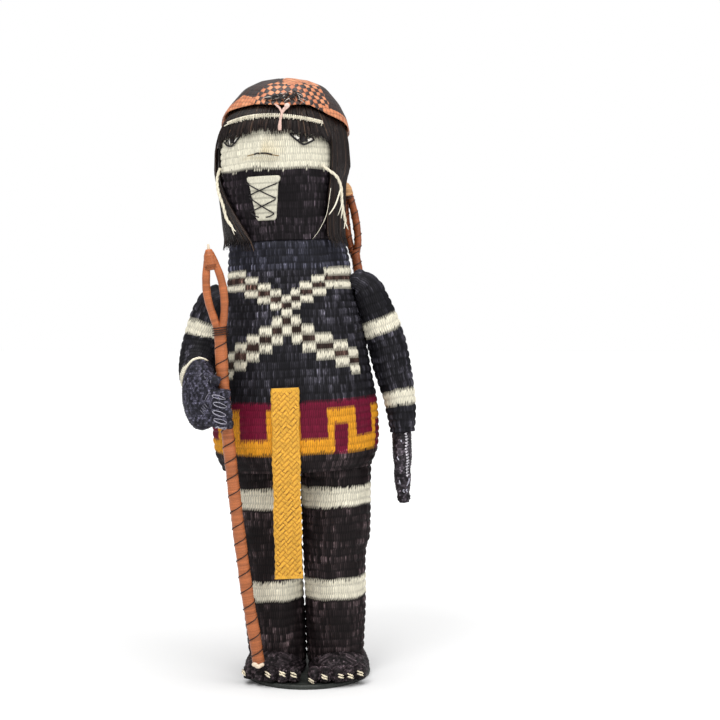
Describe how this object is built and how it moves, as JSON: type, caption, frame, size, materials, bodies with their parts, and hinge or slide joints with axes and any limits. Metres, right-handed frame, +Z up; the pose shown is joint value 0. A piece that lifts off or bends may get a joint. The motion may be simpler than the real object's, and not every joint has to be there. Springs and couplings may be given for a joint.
{
  "type": "woven doll",
  "caption": "Standing coiled-basket figure in a checked cap and long hair, with a patterned dark body, a hanging sash and a wrapped staff held in front.",
  "frame": {"origin": "centre of the sole's underside, which the doll stands on", "axes": "+Z up, -Y the way the doll faces, +X its left"},
  "size_m": [0.1612, 0.1124, 0.4067],
  "materials": {
    "black_fibre": "dyed palm fibre, slightly glossy",
    "sole_fibre": "dark woven plate",
    "hair_fibre": "straight glossy fibre",
    "palm_strip": "checked palm strips, orange and near black",
    "cream_fibre": "undyed palm fibre",
    "pale_pink_fibre": "pale dyed fibre",
    "yellow_braid": "plaited dyed fibre",
    "staff_wrap": "stick wrapped in tan fibre and black thread"
  },
  "bodies": {
    "root": {"woven_body": "black_fibre", "left_leg": "black_fibre", "right_leg": "black_fibre", "left_arm": "black_fibre", "right_arm": "black_fibre", "left_hand": "black_fibre", "right_hand": "black_fibre", "left_foot": "black_fibre", "right_foot": "black_fibre", "sole": "sole_fibre", "hair": "hair_fibre", "cap": "palm_strip", "fringe_cord": "cream_fibre", "forehead_tie": "pale_pink_fibre", "mouth_panel": "cream_fibre", "mouth_lacing": "black_fibre", "sash": "yellow_braid", "staff": "staff_wrap", "back_staff": "staff_wrap", "left_ear_cord": "cream_fibre", "right_ear_cord": "cream_fibre"}
  },
  "joints": []
}
